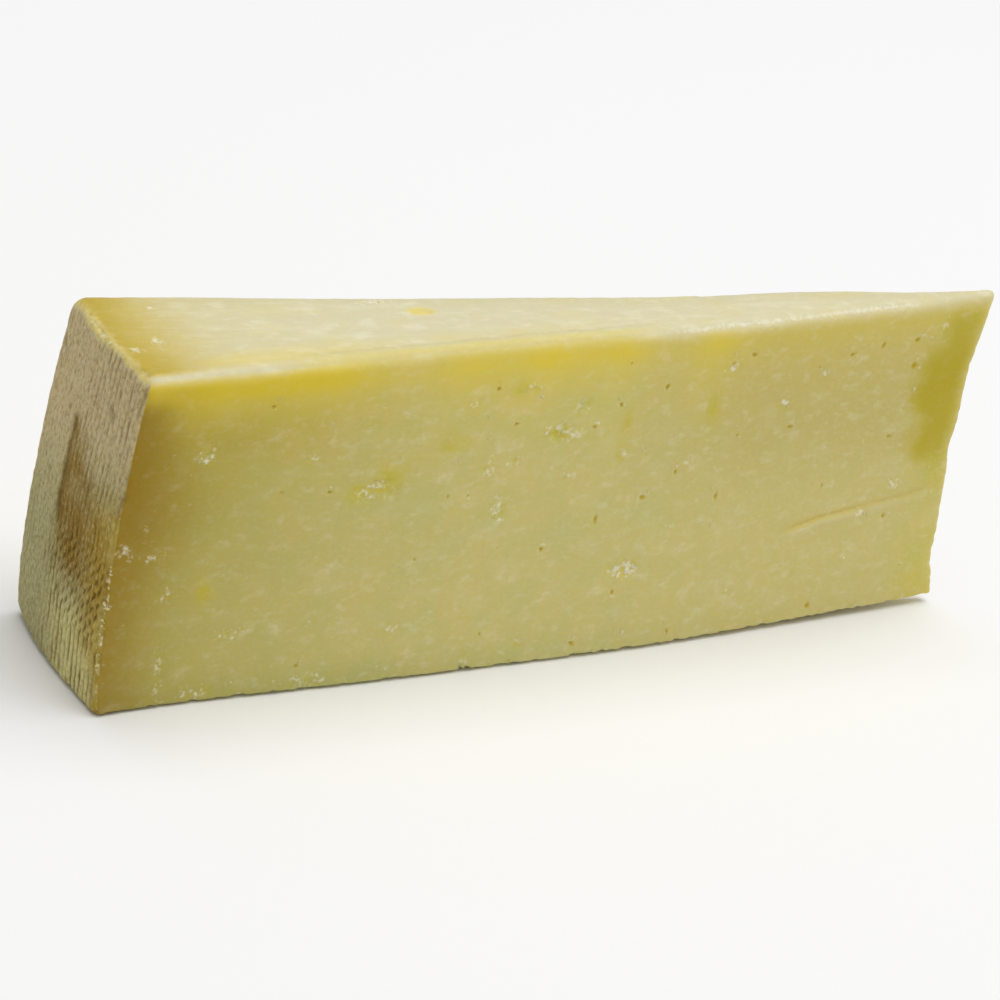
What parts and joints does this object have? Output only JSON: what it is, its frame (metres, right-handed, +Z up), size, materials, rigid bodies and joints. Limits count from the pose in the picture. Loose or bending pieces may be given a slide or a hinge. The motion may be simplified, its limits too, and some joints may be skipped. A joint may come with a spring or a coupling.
{
  "type": "cheese wedge",
  "caption": "Wedge of hard mountain cheese cut from a round wheel, with cloth-marked rind on the rim and small eyes in its cut faces.",
  "frame": {"origin": "middle of the bounding box's base", "axes": "+X from the rind to the point, +Y from the front cut face to the back one, +Z up"},
  "size_m": [0.1674, 0.0354, 0.0593],
  "materials": {
    "cheese": "waxy pale yellow paste with a grey-brown rind"
  },
  "bodies": {
    "root": {"cheese_chunk": "cheese"}
  },
  "joints": []
}
